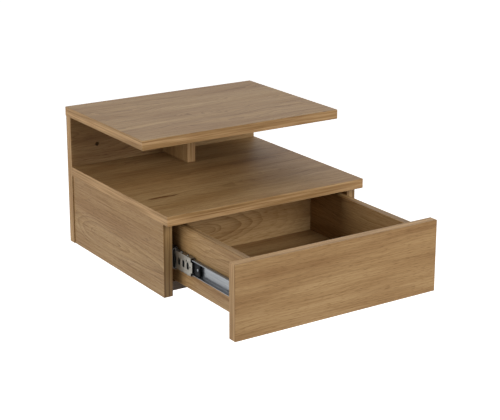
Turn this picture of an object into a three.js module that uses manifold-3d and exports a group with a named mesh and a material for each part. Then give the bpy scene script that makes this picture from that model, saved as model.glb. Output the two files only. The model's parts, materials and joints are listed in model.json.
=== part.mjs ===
// Floating nightstand with an open niche and one drawer on ball bearing runners.
// Boards are joined by cam locks, dowels and long screws, all hidden once it hangs on the wall.
// Millimetres. +X is the right hand of someone facing the front, the wall is at Y = 0,
// the drawer opens towards -Y, and +Z is up. The origin lies on the wall face, halfway
// between the two wall screw holes. The drawer is modelled shut, then moved out to its stop.

import * as THREE from 'three';
import { mergeVertices } from 'three/addons/utils/BufferGeometryUtils.js';
import Module from 'manifold-3d';

const wasm = await Module();
wasm.setup();

// Overall size
const width = 350;
const height = 225;
const topDepth = 251;

// Boards of the cabinet
const board = 15;
const nicheHeight = 81;
const backInset = 1;
const sideInset = 2.5;
const supportDepth = 80;
const railDepth = 80;
const railSetback = 19;
const arris = 0.5;
const jointGap = 0.1;

// Wall screw holes through the back panel
const wallHoleSpacing = 256;
const wallHoleHeight = 160;
const wallHoleDiameter = 7;

// Drawer
const frontInset = 0.5;
const frontLift = 1;
const frontTopGap = 3;
const frontGap = 2;
const boxBoard = 12;
const boxLift = 16;
const boxTopGap = 7;
const boxBeyondRunner = 2;

// Drawer bottom in its grooves
const bottomSheet = 3;
const grooveDepth = 5;
const grooveLift = 11;

// Ball bearing runners
const runnerSpace = 12.5;
const runnerLength = 250;
const runnerHeight = 35;
const runnerWall = 1.2;
const runnerDrop = 5;
const runnerSetback = 2;
const runnerBackGap = 36;
const runnerOverlap = 74;
const stopHeight = 16;
const stopReach = 9;
const ballDiameter = 4.8;
const ballDepth = 7;
const raceGap = 0.2;
const lipAngle = 20;
const shoulderAngle = 120;
const raceHalfAngle = 35;
const foldSize = 1.2;
const cageWall = 0.8;
const cageLength = 112;
const cageTail = 4.1;
const cageRim = 0.8;
const cageTongue = 4;
const cageTongueHeight = 16;
const cageGap = 0.4;
const ballCount = 6;
const ballMargin = 12;
const slotCount = 6;
const slotMargin = 8;
const slotPitch = 12;
const slotWidth = 6;
const slotHeight = 11;
const notchLength = 3;
const notchMargin = 10;
const eyeDiameter = 2.8;
const tongueEyeMargin = 5.8;
const upperEyeMargin = 15.3;
const upperEyeRise = 7.4;

// Release lever in the drawer runner, measured from its pivot
const leverUnderCage = 11.5;
const leverStroke = 5;
const leverFront = 6;
const leverBack = 22;
const leverThickness = 3.8;
const leverJawHeight = 7;
const leverJawDepth = 1.5;
const leverLeaf = 1.6;
const leverSlit = 1.2;
const leverSlitLength = 15;
const leverCatchHeight = 6;
const leverCatchDepth = 2;
const pivotDiameter = 4;
const pivotProud = 0.6;
const leverGap = 0.5;

// Holes that the runners are screwed through
const cabinetHoleSetback = 37;
const drawerHoleSetback = 35;
const runnerHoleSpacing = 160;
const spareHoleShift = 24;
const spareHoleLength = 9;

// Fasteners
const fitGap = 0.3;
const overrun = 1;
const camDiameter = 15;
const smallCamDiameter = 12;
const camSkin = 3;
const smallCamSkin = 2;
const camReach = 24;
const camDrive = 6;
const camDriveWidth = 1.2;
const camDriveDepth = 1.5;
const boltDiameter = 6;
const boltNeck = 3.6;
const boltHead = 5.4;
const boltHeadLength = 3.2;
const boltNeckLength = 3;
const threadDiameter = 5;
const threadSkin = 4;
const dowelDiameter = 8;
const smallDowelDiameter = 6;
const dowelChamfer = 1;
const dowelShare = 1 / 3;
const dowelLength = 30;
const longScrewLength = 50;
const longScrewDiameter = 7;
const longScrewTip = 5;
const longScrewHead = 10;
const longScrewHeadHeight = 3;
const longScrewSocket = 4;
const longScrewSocketDepth = 2.5;
const boxScrewLength = 38;
const boxScrewDiameter = 4;
const boxScrewHead = 7.6;
const boxScrewHeadHeight = 2.6;
const runnerScrewDiameter = 3.5;
const runnerScrewHead = 6.8;
const runnerScrewHeadHeight = 1.8;
const runnerScrewCrownShare = 0.6;
const runnerScrewSkin = 3;
const runnerHoleDiameter = 4.4;

// Places of the fasteners, each measured from the edge or corner named beside it
const topCamFromEnd = 74;
const shelfScrewFromEnd = 74;
const sideScrewFromBottom = 24;
const sideScrewFromTop = 24;
const sideCamFromFront = 60;
const sideDowelFromBack = 65;
const supportDowelFromFront = 18;
const supportScrewFromFront = 42;
const drawerCamFromTop = 19;
const drawerDowelFromBottom = 23;
const drawerScrewFromTop = 22;
const drawerScrewFromBottom = 21;

// Facets
const smallFacets = 10;
const camFacets = 16;
const ballFacets = 8;
const ballRings = 6;
const hexSides = 6;
const arcSteps = 5;

// Worked out from the sizes above
const sideHeight = height - nicheHeight - 2 * board;
const shelfTop = sideHeight + board;
const topBottom = height - board;
const sideOuter = width / 2 - sideInset;
const sideInner = sideOuter - board;
const sideMiddle = sideOuter - board / 2;
const runnerRear = board + runnerBackGap;
const runnerFront = runnerRear + runnerLength;
const sideFront = runnerFront + runnerSetback;
const frontBack = sideFront + frontGap;
const shelfDepth = frontBack + board;
const railFront = sideFront - railSetback;
const railBack = railFront - railDepth;
const boxOuter = sideInner - runnerSpace;
const boxInner = boxOuter - boxBoard;
const boxMiddle = boxOuter - boxBoard / 2;
const frontTop = sideHeight - frontTopGap;
const boxBottom = frontLift + boxLift;
const boxTop = sideHeight - boxTopGap;
const boxRear = frontBack - runnerLength - boxBeyondRunner;
const sheetBottom = boxBottom + grooveLift;
const runnerCentre = (boxBottom + boxTop) / 2 - runnerDrop;
const travel = runnerLength - runnerOverlap;
const slideDepth = runnerSpace - 2 * jointGap;

const ballRadius = ballDiameter / 2;
const raceRadius = ballRadius + raceGap;
const raceMiddle = raceRadius + runnerWall / 2;
const ballRow = runnerHeight / 2 - runnerWall - raceRadius;
const flangeReach = (raceRadius + runnerWall) * Math.sin(THREE.MathUtils.degToRad(raceHalfAngle));
const flangeEnd = ballDepth - flangeReach;
const cageWeb = flangeEnd - cageGap - cageWall / 2;
const leverOuter = slideDepth - runnerWall - leverGap;
const leverInner = leverOuter - leverThickness;
const cageReach = cageLength + cageTongue;
const pivotAlong = cageTail + cageReach + leverBack - leverUnderCage;
const raceLevel = ballRow - raceMiddle * Math.cos(THREE.MathUtils.degToRad(raceHalfAngle));
const leverHalf = ballRow - raceMiddle - runnerWall / 2 - leverGap;
const drawerRunnerRear = frontBack - jointGap - runnerLength;

// Materials
const finish = (color, roughness, metalness) => (name) =>
  new THREE.MeshStandardMaterial({ name, color, roughness, metalness });
const oak = finish(0xa8875c, 0.6, 0);
const zinc = finish(0xb4b9c0, 0.35, 1);
const black = finish(0x17171a, 0.5, 0);
const beech = finish(0xcfa878, 0.8, 0);

// A closed three.js geometry as a solid that can be joined and cut
function solidOf(geometry) {
  const bare = geometry.clone();
  for (const attribute of Object.keys(bare.attributes)) {
    if (attribute !== 'position') bare.deleteAttribute(attribute);
  }
  const merged = mergeVertices(bare);
  const vertProperties = new Float32Array(merged.attributes.position.array);
  const corners = merged.index.array;
  const kept = [];
  for (let start = 0; start < corners.length; start += 3) {
    const [a, b, c] = corners.slice(start, start + 3);
    if (a !== b && b !== c && c !== a) kept.push(a, b, c);
  }
  const triVerts = new Uint32Array(kept);
  return new wasm.Manifold(new wasm.Mesh({ numProp: 3, vertProperties, triVerts }));
}

// The three.js geometry of a solid
function geometryOf(solid) {
  const mesh = solid.getMesh();
  const geometry = new THREE.BufferGeometry();
  geometry.setAttribute('position', new THREE.BufferAttribute(new Float32Array(mesh.vertProperties), 3));
  geometry.setIndex(new THREE.BufferAttribute(new Uint32Array(mesh.triVerts), 1));
  geometry.computeVertexNormals();
  return geometry;
}

// An outline pushed along +Z from z = 0
function prism(points, depth) {
  const shape = new THREE.Shape(points.map(([x, y]) => new THREE.Vector2(x, y)));
  return new THREE.ExtrudeGeometry(shape, { depth, bevelEnabled: false, curveSegments: arcSteps });
}

// A plain block between two corners
function block(low, high) {
  const size = high.map((value, axis) => value - low[axis]);
  const geometry = new THREE.BoxGeometry(...size);
  return geometry.translate(low[0] + size[0] / 2, low[1] + size[1] / 2, low[2] + size[2] / 2);
}

// A board between two corners, with every edge broken by the arris
function boardBlank(low, high) {
  const [long, deep, thick] = high.map((value, axis) => value - low[axis]);
  const outline = [
    [arris, 0], [long - arris, 0], [long, arris], [long, deep - arris],
    [long - arris, deep], [arris, deep], [0, deep - arris], [0, arris],
  ];
  const shape = new THREE.Shape(outline.map(([x, y]) => new THREE.Vector2(x, y)));
  const bevel = { bevelThickness: arris, bevelSize: arris, bevelOffset: -arris, bevelSegments: 1 };
  const geometry = new THREE.ExtrudeGeometry(shape, { depth: thick - 2 * arris, ...bevel });
  return geometry.translate(low[0], low[1], low[2] + arris);
}

// A turned piece: radii and heights along +Z, from the axis back to the axis
function turned(profile, facets = smallFacets) {
  const points = profile.map(([radius, along]) => new THREE.Vector2(radius, along));
  return new THREE.LatheGeometry(points, facets).rotateX(Math.PI / 2);
}

// A round bar from z = 0 up
function bar(radius, length, facets = smallFacets) {
  return turned([[0, 0], [radius, 0], [radius, length], [0, length]], facets);
}

// A strip of sheet metal that follows a line: the outline at half the wall on either side
function ribbon(line, wall) {
  const sides = [[], []];
  line.forEach((point, index) => {
    const before = line[Math.max(index - 1, 0)];
    const after = line[Math.min(index + 1, line.length - 1)];
    const into = new THREE.Vector2(point[0] - before[0], point[1] - before[1]).normalize();
    const out = new THREE.Vector2(after[0] - point[0], after[1] - point[1]).normalize();
    const along = new THREE.Vector2().addVectors(into, out).normalize();
    const straight = index === 0 ? along.dot(out) : along.dot(into);
    const reach = wall / 2 / straight;
    sides[0].push([point[0] - along.y * reach, point[1] + along.x * reach]);
    sides[1].push([point[0] + along.y * reach, point[1] - along.x * reach]);
  });
  return [...sides[0], ...sides[1].reverse()];
}

// Points of an arc in degrees round a centre
function arc(centre, radius, from, to) {
  return Array.from({ length: arcSteps + 1 }, (_, step) => {
    const angle = THREE.MathUtils.degToRad(from + (to - from) * step / arcSteps);
    return [centre[0] + radius * Math.cos(angle), centre[1] + radius * Math.sin(angle)];
  });
}

// A line and its mirror image below, joined end to end
function mirroredDown(line) {
  return [...line, ...line.map(([across, up]) => [across, -up]).reverse()];
}

// A slot with round ends, along y, pushed along +Z
function slot(slotAcross, slotAlong, depth) {
  const radius = slotAcross / 2;
  const straight = slotAlong / 2 - radius;
  const outline = [...arc([0, straight], radius, 0, 180), ...arc([0, -straight], radius, 180, 360)];
  return prism(outline, depth);
}

// The placement that turns +Z to a direction and moves the origin to a point
function placement(at, direction) {
  const turn = new THREE.Quaternion();
  turn.setFromUnitVectors(new THREE.Vector3(0, 0, 1), new THREE.Vector3(...direction));
  return new THREE.Matrix4().compose(new THREE.Vector3(...at), turn, new THREE.Vector3(1, 1, 1));
}

const nightstand = new THREE.Group();
const cabinet = new THREE.Group();
const drawer = new THREE.Group();
nightstand.add(cabinet, drawer);
cabinet.position.z = -wallHoleHeight;
drawer.position.set(0, -travel, -wallHoleHeight);

// A mesh in a group, its own origin at the given point of the group
function addPiece(group, name, solid, material, at) {
  const geometry = geometryOf(solid).translate(-at[0], -at[1], -at[2]);
  const mesh = new THREE.Mesh(geometry, material(name));
  mesh.name = name;
  mesh.position.set(...at);
  group.add(mesh);
}

// Fasteners: each kind has the piece itself and the hole it needs, both along +Z from its seat
function hexagon(across, depth) {
  return new THREE.CylinderGeometry(across / 2, across / 2, depth, hexSides).rotateX(Math.PI / 2);
}

function longScrew() {
  const head = longScrewHead / 2;
  const shank = longScrewDiameter / 2;
  const body = solidOf(turned([
    [0, 0], [head, 0], [shank, longScrewHeadHeight], [shank, board],
    [longScrewTip / 2, board + longScrewHeadHeight], [longScrewTip / 2, longScrewLength - longScrewTip],
    [0, longScrewLength],
  ]));
  const socket = solidOf(hexagon(longScrewSocket, 2 * longScrewSocketDepth));
  const hole = solidOf(turned([
    [0, -overrun], [head + fitGap, -overrun], [head + fitGap, 0],
    [shank + fitGap, longScrewHeadHeight], [shank + fitGap, board + longScrewHeadHeight],
    [longScrewTip / 2 + fitGap, board + 2 * longScrewHeadHeight],
    [longScrewTip / 2 + fitGap, longScrewLength + fitGap], [0, longScrewLength + fitGap],
  ]));
  return { piece: body.subtract(socket), hole, material: zinc };
}

function boxScrew() {
  const head = boxScrewHead / 2;
  const shank = boxScrewDiameter / 2;
  const piece = solidOf(turned([
    [0, 0], [head, 0], [shank, boxScrewHeadHeight], [shank, boxScrewLength - boxScrewDiameter],
    [0, boxScrewLength],
  ]));
  const hole = solidOf(turned([
    [0, -overrun], [head + fitGap, -overrun], [head + fitGap, 0],
    [shank + fitGap, boxScrewHeadHeight], [shank + fitGap, boxScrewLength + fitGap],
    [0, boxScrewLength + fitGap],
  ]));
  return { piece, hole, material: zinc };
}

function runnerScrew(held) {
  const head = runnerScrewHead / 2;
  const shank = runnerScrewDiameter / 2;
  const length = runnerWall + jointGap + held - runnerScrewSkin;
  const piece = solidOf(turned([
    [0, -runnerScrewHeadHeight], [head * runnerScrewCrownShare, -runnerScrewHeadHeight],
    [head, -runnerScrewHeadHeight / 2], [head, 0], [shank, 0],
    [shank, length - runnerScrewDiameter], [0, length],
  ]));
  const hole = solidOf(turned([
    [0, 0], [shank + fitGap, 0], [shank + fitGap, length + fitGap], [0, length + fitGap],
  ]));
  return { piece, hole, material: zinc };
}

function dowel(diameter) {
  const radius = diameter / 2;
  const low = -dowelLength * dowelShare;
  const high = low + dowelLength;
  const piece = solidOf(turned([
    [0, low], [radius - dowelChamfer, low], [radius, low + dowelChamfer],
    [radius, high - dowelChamfer], [radius - dowelChamfer, high], [0, high],
  ]));
  const hole = solidOf(bar(radius + fitGap, dowelLength + 2 * fitGap).translate(0, 0, low - fitGap));
  return { piece, hole, material: beech };
}

function camBolt(threaded) {
  const thread = threaded - threadSkin;
  const neckStart = camReach - boltHeadLength / 2 - boltNeckLength;
  const piece = solidOf(turned([
    [0, -thread], [threadDiameter / 2, -thread], [threadDiameter / 2, 0], [boltDiameter / 2, 0],
    [boltDiameter / 2, neckStart - boltNeckLength], [boltNeck / 2, neckStart],
    [boltNeck / 2, neckStart + boltNeckLength], [boltHead / 2, neckStart + boltNeckLength],
    [boltHead / 2, camReach + boltHeadLength / 2], [0, camReach + boltHeadLength / 2],
  ]));
  const bore = bar(boltDiameter / 2 + fitGap, camReach).translate(0, 0, jointGap / 2);
  const threadHole = bar(threadDiameter / 2 + fitGap, thread + 2 * fitGap);
  threadHole.translate(0, 0, -thread - fitGap);
  return { piece, hole: solidOf(bore).add(solidOf(threadHole)), material: zinc };
}

// The cam lies under the face, turned so that its mouth looks along +X to the bolt
function camLock(diameter, depth, boltUnder) {
  const radius = diameter / 2 - fitGap;
  const body = solidOf(bar(radius, depth - fitGap, camFacets));
  const mouthRadius = boltDiameter / 2 + fitGap;
  const mouth = bar(mouthRadius, diameter).rotateY(Math.PI / 2).translate(-mouthRadius, 0, boltUnder);
  const drive = [[camDrive, camDriveWidth], [camDriveWidth, camDrive]].map(([across, along]) =>
    solidOf(block([-across / 2, -along / 2, -overrun], [across / 2, along / 2, camDriveDepth])));
  const piece = body.subtract(solidOf(mouth)).subtract(drive[0]).subtract(drive[1]);
  const hole = solidOf(bar(diameter / 2, depth + overrun, camFacets).translate(0, 0, -overrun));
  return { piece, hole, material: zinc };
}

const holes = { cabinet: [], drawer: [] };

// Adds a fastener's mesh to a group and notes the hole that its boards need
function fasten(groupName, name, kind, at, direction, roll = 0) {
  const group = groupName === 'cabinet' ? cabinet : drawer;
  const matrix = placement(at, direction).multiply(new THREE.Matrix4().makeRotationZ(roll));
  const mesh = new THREE.Mesh(geometryOf(kind.piece), kind.material(name));
  mesh.name = name;
  mesh.applyMatrix4(matrix);
  group.add(mesh);
  holes[groupName].push(kind.hole.transform(matrix.elements));
}

// Cuts every noted hole of a group out of a board
function drilled(groupName, blank) {
  return holes[groupName].reduce((solid, hole) => solid.subtract(hole), solidOf(blank));
}

const sides = [['left', -1], ['right', 1]];
const back = [0, 1, 0];
const front = [0, -1, 0];
const up = [0, 0, 1];
const down = [0, 0, -1];

// The bolt runs from the joint to the cam, and the cam's mouth faces back along the bolt
function camFitting(groupName, name, at, alongBolt, outOfFace, sizes) {
  const bolt = camBolt(sizes.threaded);
  fasten(groupName, `cam_bolt_${name}`, bolt, at, alongBolt);
  const intoFace = new THREE.Vector3(...outOfFace).negate();
  const centre = new THREE.Vector3(...at).addScaledVector(new THREE.Vector3(...alongBolt), camReach);
  centre.addScaledVector(intoFace, -sizes.boltUnder);
  const cam = camLock(sizes.diameter, sizes.depth, sizes.boltUnder);
  const matrix = placement([0, 0, 0], intoFace.toArray()).invert();
  const mouth = new THREE.Vector3(...alongBolt).negate().transformDirection(matrix);
  const roll = Math.atan2(mouth.y, mouth.x);
  fasten(groupName, `cam_lock_${name}`, cam, centre.toArray(), intoFace.toArray(), roll);
}

const cabinetCam = {
  diameter: camDiameter, depth: board - camSkin, boltUnder: board / 2, threaded: board,
};
const drawerCam = {
  diameter: smallCamDiameter, depth: boxBoard - smallCamSkin, boltUnder: boxBoard / 2, threaded: board,
};

for (const [side, sign] of sides) {
  const inward = [-sign, 0, 0];
  const outward = [sign, 0, 0];

  // Top panel to back panel, with the cams in the wall face
  const topCamX = sign * (width / 2 - topCamFromEnd);
  camFitting('cabinet', `top_${side}`, [topCamX, -board / 2, topBottom], down, back, cabinetCam);

  // Side panel to shelf: a cam near the front and a dowel near the back
  const sideCam = [sign * sideMiddle, -sideFront + sideCamFromFront, sideHeight];
  camFitting('cabinet', `side_${side}`, sideCam, down, inward, cabinetCam);
  const sideDowel = [sign * sideMiddle, -board - sideDowelFromBack, sideHeight];
  fasten('cabinet', `dowel_side_${side}`, dowel(dowelDiameter), sideDowel, down);

  // Bottom rail to side panel
  const railCam = [sign * sideInner, -(railFront + railBack) / 2, board / 2];
  camFitting('cabinet', `rail_${side}`, railCam, inward, up, cabinetCam);

  // Back panel to side panel and shelf
  const low = [sign * sideMiddle, 0, sideScrewFromBottom];
  fasten('cabinet', `back_screw_lower_${side}`, longScrew(), low, front);
  const high = [sign * sideMiddle, 0, sideHeight - sideScrewFromTop];
  fasten('cabinet', `back_screw_upper_${side}`, longScrew(), high, front);
  const shelfScrew = [sign * (width / 2 - shelfScrewFromEnd), 0, sideHeight + board / 2];
  fasten('cabinet', `back_screw_shelf_${side}`, longScrew(), shelfScrew, front);

  // Drawer front to drawer side
  const drawerBolt = [sign * boxMiddle, -frontBack, boxTop - drawerCamFromTop];
  camFitting('drawer', `drawer_${side}`, drawerBolt, back, outward, drawerCam);
  const drawerDowel = [sign * boxMiddle, -frontBack, boxBottom + drawerDowelFromBottom];
  fasten('drawer', `dowel_drawer_${side}`, dowel(smallDowelDiameter), drawerDowel, back);

  // Drawer side to drawer back
  const backMiddle = -boxRear - boxBoard / 2;
  const upper = [sign * boxOuter, backMiddle, boxTop - drawerScrewFromTop];
  fasten('drawer', `drawer_screw_upper_${side}`, boxScrew(), upper, inward);
  const lower = [sign * boxOuter, backMiddle, boxBottom + drawerScrewFromBottom];
  fasten('drawer', `drawer_screw_lower_${side}`, boxScrew(), lower, inward);

  // Runners to side panel and drawer side
  for (const [place, shift] of [['front', 0], ['rear', runnerHoleSpacing]]) {
    const cabinetX = sign * (sideInner - jointGap - runnerWall);
    const cabinetHole = [cabinetX, -runnerFront + cabinetHoleSetback + shift, runnerCentre];
    fasten('cabinet', `cabinet_runner_screw_${place}_${side}`, runnerScrew(board), cabinetHole, outward);
    const drawerX = sign * (boxOuter + jointGap + runnerWall);
    const drawerHole = [drawerX, -frontBack + drawerHoleSetback + shift, runnerCentre];
    fasten('drawer', `drawer_runner_screw_${place}_${side}`, runnerScrew(boxBoard), drawerHole, inward);
  }
}

// Centre support: a screw up through the shelf and a dowel into the top
const supportFront = board + supportDepth;
const supportScrew = [0, -supportFront + supportScrewFromFront, sideHeight];
fasten('cabinet', 'support_screw', longScrew(), supportScrew, up);
const supportDowel = [0, -supportFront + supportDowelFromFront, topBottom];
fasten('cabinet', 'dowel_support', dowel(dowelDiameter), supportDowel, down);

// Cabinet boards
function cabinetBoard(name, low, high, cutters = []) {
  const solid = drilled('cabinet', boardBlank(low, high));
  addPiece(cabinet, name, cutters.reduce((cut, cutter) => cut.subtract(cutter), solid), oak, low);
}

const wallHoles = sides.map(([, sign]) => {
  const drill = solidOf(bar(wallHoleDiameter / 2, board + 2 * overrun, 2 * ballFacets));
  const at = [sign * wallHoleSpacing / 2, overrun, wallHoleHeight];
  return drill.transform(placement(at, front).elements);
});

cabinetBoard('top_panel', [-width / 2, -topDepth, topBottom], [width / 2, 0, height]);
cabinetBoard(
  'back_panel',
  [-width / 2 + backInset, -board, 0],
  [width / 2 - backInset, 0, topBottom - jointGap],
  wallHoles,
);
cabinetBoard(
  'shelf_panel',
  [-width / 2, -shelfDepth, sideHeight],
  [width / 2, -board - jointGap, shelfTop],
);
for (const [side, sign] of sides) {
  const across = [sign * sideOuter, sign * sideInner].sort((a, b) => a - b);
  cabinetBoard(
    `side_panel_${side}`,
    [across[0], -sideFront, 0],
    [across[1], -board - jointGap, sideHeight - jointGap],
  );
}
cabinetBoard(
  'bottom_rail',
  [-sideInner + jointGap, -railFront, 0],
  [sideInner - jointGap, -railBack, board],
);
cabinetBoard(
  'centre_support',
  [-board / 2, -supportFront, shelfTop + jointGap],
  [board / 2, -board - jointGap, topBottom - jointGap],
);

// Drawer boards, grooved on the inside for the bottom sheet
const grooveWidth = boxInner + grooveDepth;
const grooveRear = boxRear + boxBoard - grooveDepth;
const grooveFront = frontBack + grooveDepth;
const groove = solidOf(block(
  [-grooveWidth, -grooveFront, sheetBottom - fitGap],
  [grooveWidth, -grooveRear, sheetBottom + bottomSheet + fitGap],
));

function drawerBoard(name, low, high) {
  addPiece(drawer, name, drilled('drawer', boardBlank(low, high)).subtract(groove), oak, low);
}

drawerBoard(
  'drawer_front',
  [-width / 2 + frontInset, -shelfDepth, frontLift],
  [width / 2 - frontInset, -frontBack, frontTop],
);
for (const [side, sign] of sides) {
  const across = [sign * boxOuter, sign * boxInner].sort((a, b) => a - b);
  const sideFace = -frontBack + jointGap;
  drawerBoard(`drawer_side_${side}`, [across[0], sideFace, boxBottom], [across[1], -boxRear, boxTop]);
}
drawerBoard(
  'drawer_back',
  [-boxInner + jointGap, -boxRear - boxBoard, boxBottom],
  [boxInner - jointGap, -boxRear, boxTop],
);
const sheetLow = [-grooveWidth + fitGap, -grooveFront + fitGap, sheetBottom];
const sheetHigh = [grooveWidth - fitGap, -grooveRear - fitGap, sheetBottom + bottomSheet];
addPiece(drawer, 'drawer_bottom', solidOf(block(sheetLow, sheetHigh)), oak, sheetLow);

// Runner sections: across is the distance from the cabinet side, up is from the runner's middle
const ballCentre = [ballDepth, ballRow];

function cabinetSection() {
  const crown = arc(ballCentre, raceMiddle, lipAngle, shoulderAngle);
  const [across, rise] = crown[crown.length - 1];
  const slope = 1 / Math.tan(THREE.MathUtils.degToRad(180 - shoulderAngle));
  const foot = [runnerWall / 2, rise - (across - runnerWall / 2) * slope];
  return ribbon(mirroredDown([...crown, foot]), runnerWall);
}

function drawerSection() {
  const race = arc(ballCentre, raceMiddle, 270 - raceHalfAngle, 270 + raceHalfAngle);
  const web = slideDepth - runnerWall / 2;
  const fold = [[web - foldSize, raceLevel], [web, raceLevel - foldSize]];
  return ribbon(mirroredDown([...race, ...fold]), runnerWall);
}

function cageSection() {
  const rim = ballDepth + ballRadius + cageRim;
  const line = [[rim, ballRow], [cageWeb + foldSize, ballRow], [cageWeb, ballRow - foldSize]];
  return ribbon(mirroredDown(line), cageWall);
}

// Lays a section's length along -Y from y = 0, with the section's up as +Z
const laid = (geometry) => geometry.rotateX(Math.PI / 2);

// A round hole or slot through a web, from outside the cabinet face to past the drawer face
function webHole(cutter, along) {
  const depth = slideDepth + 2 * overrun;
  return solidOf(cutter(depth).rotateY(Math.PI / 2).translate(-overrun, -along, 0));
}

const roundHole = (depth) => bar(runnerHoleDiameter / 2, depth);
const spareSlot = (depth) => slot(runnerHoleDiameter, spareHoleLength, depth);
const cageSlot = (depth) => slot(slotWidth, slotHeight, depth).rotateZ(Math.PI / 2);
const cageEye = (depth) => bar(eyeDiameter / 2, depth);

function runner(section, holeSetback) {
  const solid = solidOf(laid(prism(section, runnerLength)));
  const first = runnerLength - holeSetback;
  const rounds = [first, first - runnerHoleSpacing].map((along) => webHole(roundHole, along));
  const spares = [first - spareHoleShift, first - runnerHoleSpacing + spareHoleShift];
  const slots = spares.map((along) => webHole(spareSlot, along));
  return [...rounds, ...slots].reduce((cut, cutter) => cut.subtract(cutter), solid);
}

// The cabinet runner's web is bent in at its rear end to stop the drawer runner
function cabinetRunner() {
  const stop = block([0, -runnerWall, -stopHeight / 2], [stopReach, 0, stopHeight / 2]);
  return runner(cabinetSection(), cabinetHoleSetback).add(solidOf(stop));
}

// The pivot stud that the release lever turns on stands on the drawer runner's web
function drawerRunner() {
  const stud = bar(pivotDiameter / 2, leverThickness + leverGap + pivotProud + runnerWall / 2);
  const root = slideDepth - runnerWall / 2;
  stud.rotateY(-Math.PI / 2).translate(root, -pivotAlong, 0);
  return runner(drawerSection(), drawerHoleSetback - jointGap).add(solidOf(stud));
}

// Steel balls in two rows, held by the cage's turned-in edges
function ballCage() {
  const strip = solidOf(laid(prism(cageSection(), cageReach)));
  const beyond = ballRow + cageWall;
  const cutters = [1, -1].map((sign) => {
    const [low, high] = [sign * cageTongueHeight / 2, sign * beyond].sort((a, b) => a - b);
    return solidOf(block([0, -cageReach - overrun, low], [slideDepth, -cageLength, high]));
  });
  for (let index = 0; index < slotCount; index += 1) {
    cutters.push(webHole(cageSlot, cageLength - slotMargin - index * slotPitch));
  }
  cutters.push(webHole(cageEye, cageReach - tongueEyeMargin));
  cutters.push(webHole(cageEye, cageReach - upperEyeMargin).translate(0, 0, upperEyeRise));
  const notchEnd = cageLength - notchMargin;
  cutters.push(solidOf(block(
    [cageWeb + foldSize, -notchEnd, -beyond],
    [slideDepth, -notchEnd + notchLength, -ballRow + cageWall],
  )));
  let solid = cutters.reduce((cut, cutter) => cut.subtract(cutter), strip);
  const spacing = (cageLength - 2 * ballMargin) / (ballCount - 1);
  for (let index = 0; index < ballCount; index += 1) {
    for (const row of [ballRow, -ballRow]) {
      const ball = new THREE.SphereGeometry(ballRadius, ballFacets, ballRings);
      ball.rotateX(Math.PI / 2).translate(ballDepth, -ballMargin - index * spacing, row);
      solid = solid.add(solidOf(ball));
    }
  }
  return solid;
}

// A sprung plastic lever seen from its side, with its pivot at the origin and x running back.
// Its edges fall away by the stroke, so that it clears both races when it is pressed.
function releaseLever() {
  const fall = Math.tan(THREE.MathUtils.degToRad(leverStroke));
  const jaw = leverJawHeight / 2;
  const jawEnd = -leverFront + leverJawDepth;
  const hook = leverCatchHeight / 2;
  const hookEnd = leverBack - leverCatchDepth;
  const leafTop = -leverHalf + leverLeaf;
  const slitEnd = leverBack - leverSlitLength;
  const outline = [
    [0, leverHalf], [-leverFront, leverHalf],
    [-leverFront, jaw], [jawEnd, jaw], [jawEnd, -jaw], [-leverFront, -jaw],
    [-leverFront, -leverHalf + leverFront * fall], [0, -leverHalf], [leverBack, -leverHalf],
    [leverBack, leafTop], [slitEnd, leafTop], [slitEnd, leafTop + leverSlit], [leverBack, leafTop + leverSlit],
    [leverBack, -hook], [hookEnd, -hook], [hookEnd, hook], [leverBack, hook],
    [leverBack, leverHalf - leverBack * fall],
  ];
  const plate = solidOf(prism(outline, leverThickness));
  const eyeHole = bar(pivotDiameter / 2 + fitGap, leverThickness + 2 * overrun);
  return plate.subtract(solidOf(eyeHole.translate(0, 0, -overrun)));
}

// The lever's length runs back along the drawer runner, with its thickness across
const leverAxes = new THREE.Matrix4().makeBasis(
  new THREE.Vector3(0, 1, 0),
  new THREE.Vector3(0, 0, 1),
  new THREE.Vector3(1, 0, 0),
);

// Each runner is the same part on both sides, turned half round to face the other way
for (const [side, sign] of sides) {
  const turn = sign > 0 ? Math.PI : 0;
  const faceX = sign * (sideInner - jointGap);

  const fixed = new THREE.Group();
  fixed.position.set(faceX, -runnerRear, runnerCentre);
  fixed.rotation.y = turn;
  cabinet.add(fixed);
  addPiece(fixed, `cabinet_runner_${side}`, cabinetRunner(), zinc, [0, 0, 0]);

  const rolling = new THREE.Group();
  rolling.position.set(faceX, -drawerRunnerRear - travel - cageTail, runnerCentre - wallHoleHeight);
  rolling.rotation.y = turn;
  nightstand.add(rolling);
  addPiece(rolling, `ball_cage_${side}`, ballCage(), zinc, [0, 0, 0]);

  const sliding = new THREE.Group();
  sliding.position.set(faceX, -drawerRunnerRear, runnerCentre);
  sliding.rotation.y = turn;
  drawer.add(sliding);
  addPiece(sliding, `drawer_runner_${side}`, drawerRunner(), zinc, [0, 0, 0]);

  const lever = new THREE.Mesh(geometryOf(releaseLever()), black(`release_lever_${side}`));
  lever.name = `release_lever_${side}`;
  lever.quaternion.setFromRotationMatrix(leverAxes);
  lever.position.set(leverInner, -pivotAlong, 0);
  sliding.add(lever);
}

export default nightstand;
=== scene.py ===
# %% [markdown]
# # A floating nightstand, dressed in Blender
#
# The nightstand hangs on a wall. It has a short top board, an open niche, a deeper shelf and one
# drawer on ball bearing runners, which stands open. Its boards are chipboard under a printed oak
# foil, with a strip of the same print glued along every edge.
#
# The boards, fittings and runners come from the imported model, and they stay where it puts them.
# This script gives them their finishes, and builds finer pieces in place of the small hardware.

import json
import math

import bmesh
import bpy
from mathutils import Matrix, Vector


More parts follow.
